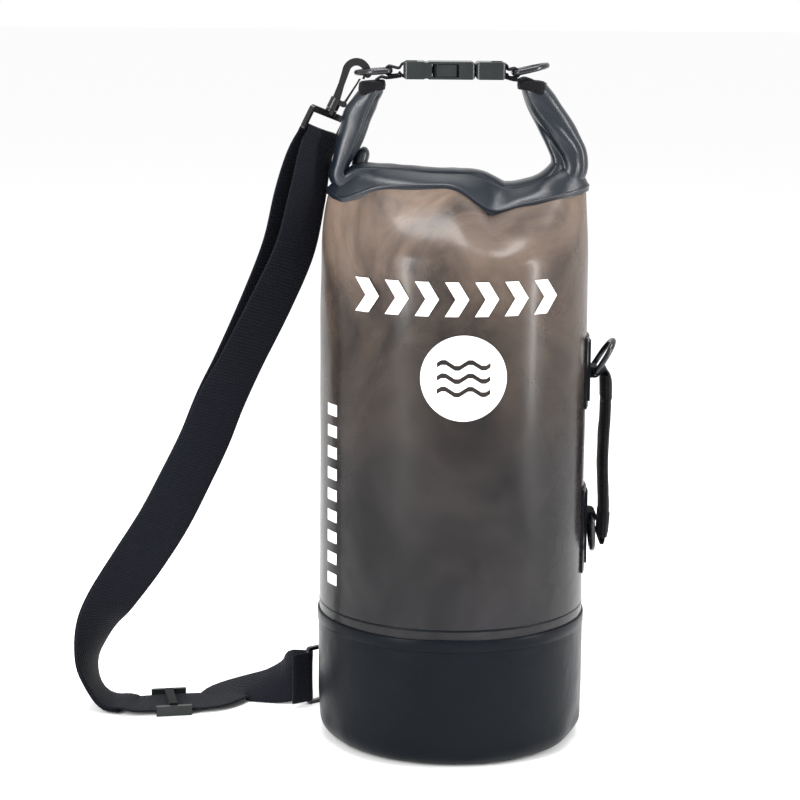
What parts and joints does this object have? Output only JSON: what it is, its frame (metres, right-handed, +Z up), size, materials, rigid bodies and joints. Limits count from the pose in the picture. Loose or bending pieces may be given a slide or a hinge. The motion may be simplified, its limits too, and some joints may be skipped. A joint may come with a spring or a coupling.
{
  "type": "dry bag",
  "caption": "Roll-top dry bag with a smoky see-through tube, dark base, side-release buckle, clip-on shoulder strap and side grab handle.",
  "frame": {"origin": "centre of the bag's round bottom, on the surface that it stands on", "axes": "+Z up along the bag, +X towards the side handle, -Y towards the front print"},
  "size_m": [0.3911, 0.1926, 0.4813],
  "materials": {
    "base_fabric": "satin coated fabric",
    "film": "smoky translucent film",
    "stiffener": "flexible strip",
    "webbing": "woven",
    "strap_webbing": "fine woven",
    "buckle_plastic": "satin moulded",
    "ring": "satin moulded",
    "hook": "black coated",
    "print": "screen print"
  },
  "bodies": {
    "bag": {"bottom_disc": "base_fabric", "base_band": "base_fabric", "base_weld_band": "base_fabric", "body_film": "film", "back_seam_strip": "film", "collar": "base_fabric", "rolled_mouth": "base_fabric", "mouth_stiffener": "stiffener", "left_ear_binding": "webbing", "left_tab": "webbing", "buckle_socket": "buckle_plastic", "upper_strap_loop": "hook", "shoulder_strap": "strap_webbing", "lower_strap_loop": "hook", "base_patch": "base_fabric", "base_tab": "webbing", "handle_upper_patch": "base_fabric", "handle_upper_tab": "webbing", "handle_lower_patch": "base_fabric", "handle_lower_tab": "webbing", "front_print": "print", "front_badge": "print", "side_print": "print"},
    "plug": {"buckle_plug": "buckle_plastic", "right_tab": "webbing", "right_ear_binding": "webbing"},
    "front_arm": {"front_prong": "buckle_plastic"},
    "rear_arm": {"rear_prong": "buckle_plastic"},
    "left_ring": {"left_ring": "ring"},
    "right_ring": {"right_ring": "ring"},
    "upper_hook": {"upper_hook": "hook"},
    "upper_gate": {"upper_hook_gate": "hook"},
    "lower_hook": {"lower_hook": "hook"},
    "lower_gate": {"lower_hook_gate": "hook"},
    "base_ring": {"base_ring": "ring"},
    "handle_upper_ring": {"handle_upper_ring": "ring"},
    "handle_lower_ring": {"handle_lower_ring": "ring"},
    "handle": {"handle_webbing": "webbing", "handle_sleeve": "webbing"},
    "slider": {"strap_slider": "buckle_plastic", "slider_wrap": "strap_webbing"}
  },
  "joints": [
    {"name": "buckle_unclip", "type": "slide", "parent": "bag", "child": "plug", "axis": [1, 0, 0], "range_m": [0, 0.03], "deforming": ["front_prong", "rear_prong"]},
    {"name": "front_prong_squeeze", "type": "hinge", "parent": "plug", "child": "front_arm", "pos_m": [0.015, -0.009, 0.4735], "axis": [0, 0, -1], "range_deg": [0, 8], "stiffness_Nm_per_rad": 0.3},
    {"name": "rear_prong_squeeze", "type": "hinge", "parent": "plug", "child": "rear_arm", "pos_m": [0.015, 0.009, 0.4735], "axis": [0, 0, 1], "range_deg": [0, 8], "stiffness_Nm_per_rad": 0.3},
    {"name": "left_ring_swing", "type": "hinge", "parent": "bag", "child": "left_ring", "pos_m": [-0.0461, 0, 0.4729], "axis": [0, 1, 0], "range_deg": [0, 5]},
    {"name": "right_ring_swing", "type": "hinge", "parent": "plug", "child": "right_ring", "pos_m": [0.0399, 0, 0.472], "axis": [0, -1, 0], "range_deg": [0, 43]},
    {"name": "upper_hook_swivel", "type": "hinge", "parent": "bag", "child": "upper_hook", "pos_m": [-0.0729, 0, 0.4731], "axis": [-0.4399, 0, -0.898], "range_deg": [-20, 20]},
    {"name": "upper_gate_open", "type": "hinge", "parent": "upper_hook", "child": "upper_gate", "pos_m": [-0.07794, 0, 0.4494], "axis": [0, -1, 0], "range_deg": [0, 18], "stiffness_Nm_per_rad": 0.02},
    {"name": "lower_hook_swivel", "type": "hinge", "parent": "bag", "child": "lower_hook", "pos_m": [-0.0667, 0.08398, 0.022], "axis": [-0.766, -0.6428, 0], "range_deg": [-20, 20]},
    {"name": "lower_gate_open", "type": "hinge", "parent": "lower_hook", "child": "lower_gate", "pos_m": [-0.0885, 0.0734, 0.022], "axis": [0, 0, -1], "range_deg": [0, 18], "stiffness_Nm_per_rad": 0.02},
    {"name": "base_ring_swing", "type": "hinge", "parent": "bag", "child": "base_ring", "pos_m": [-0.0464, 0.0872, 0.022], "axis": [0, 0, -1], "range_deg": [0, 3]},
    {"name": "handle_upper_ring_swing", "type": "hinge", "parent": "bag", "child": "handle_upper_ring", "pos_m": [0.0995, 0, 0.264], "axis": [0, -1, 0], "range_deg": [0, 28]},
    {"name": "handle_lower_ring_swing", "type": "hinge", "parent": "bag", "child": "handle_lower_ring", "pos_m": [0.0995, 0, 0.16], "axis": [0, -1, 0], "range_deg": [0, 6]},
    {"name": "handle_pull", "type": "slide", "parent": "bag", "child": "handle", "axis": [1, 0, 0], "range_m": [0, 0.01]},
    {"name": "slider_travel", "type": "slide", "parent": "bag", "child": "slider", "axis": [0.9816, 0.1908, 0], "range_m": [-0.006, 0.006]}
  ]
}
